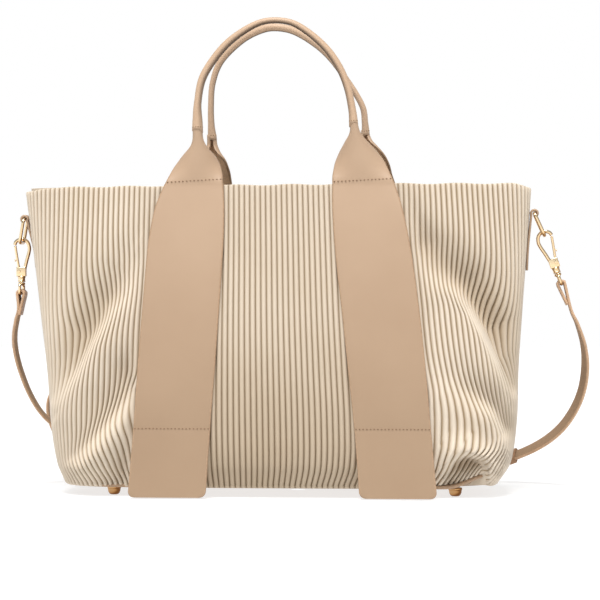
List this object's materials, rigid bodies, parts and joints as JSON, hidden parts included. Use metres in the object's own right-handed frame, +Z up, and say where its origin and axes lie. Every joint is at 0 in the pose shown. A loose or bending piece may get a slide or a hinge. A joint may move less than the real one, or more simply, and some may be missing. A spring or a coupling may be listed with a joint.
{
  "type": "handbag",
  "caption": "Soft ribbed fabric tote with wide leather straps rolled into top handles, a leather base on metal feet, and a shoulder strap on swivel snap hooks",
  "frame": {"origin": "middle of the whole object's footprint, shoulder strap included, on the surface that the feet stand on", "axes": "+X to the bag's right as seen from the front, +Y from front to back, +Z up"},
  "size_m": [0.4962, 0.2128, 0.399],
  "materials": {
    "ribbed_cloth": "soft matt pleated cloth with fine upright ribs",
    "tan_leather": "smooth fine-grained leather, satin",
    "gold_metal": "polished pale gold plating"
  },
  "bodies": {
    "bag": {"body_shell": "ribbed_cloth", "base_panel": "tan_leather", "foot_front_left": "gold_metal", "foot_front_right": "gold_metal", "foot_back_left": "gold_metal", "foot_back_right": "gold_metal", "strap_front_left": "tan_leather", "strap_front_right": "tan_leather", "strap_back_left": "tan_leather", "strap_back_right": "tan_leather", "handle_front": "tan_leather", "handle_back": "tan_leather", "side_tab_left": "tan_leather", "side_tab_right": "tan_leather", "d_ring_left": "gold_metal", "d_ring_right": "gold_metal", "swivel_eye_left": "gold_metal", "swivel_eye_right": "gold_metal", "shoulder_strap": "tan_leather", "strap_keeper": "tan_leather"},
    "snap_left": {"hook_left": "gold_metal"},
    "snap_right": {"hook_right": "gold_metal"},
    "gate_left": {"hook_gate_left": "gold_metal"},
    "gate_right": {"hook_gate_right": "gold_metal"}
  },
  "joints": [
    {"name": "swivel_left", "type": "hinge", "parent": "bag", "child": "snap_left", "pos_m": [-0.23655, -0.01359, 0.18188], "axis": [0, 0, 1], "range_deg": [-30, 30]},
    {"name": "swivel_right", "type": "hinge", "parent": "bag", "child": "snap_right", "pos_m": [0.21838, -0.01359, 0.18899], "axis": [-0.3256, 0, 0.9455], "range_deg": [-30, 30]},
    {"name": "gate_hinge_left", "type": "hinge", "parent": "snap_left", "child": "gate_left", "pos_m": [-0.23855, -0.01359, 0.18648], "axis": [0, 1, 0], "range_deg": [0, 22], "stiffness_Nm_per_rad": 0.002, "springref_deg": -11.46},
    {"name": "gate_hinge_right", "type": "hinge", "parent": "snap_right", "child": "gate_right", "pos_m": [0.21877, -0.01359, 0.19399], "axis": [0, -1, 0], "range_deg": [0, 22], "stiffness_Nm_per_rad": 0.002, "springref_deg": -11.46}
  ]
}
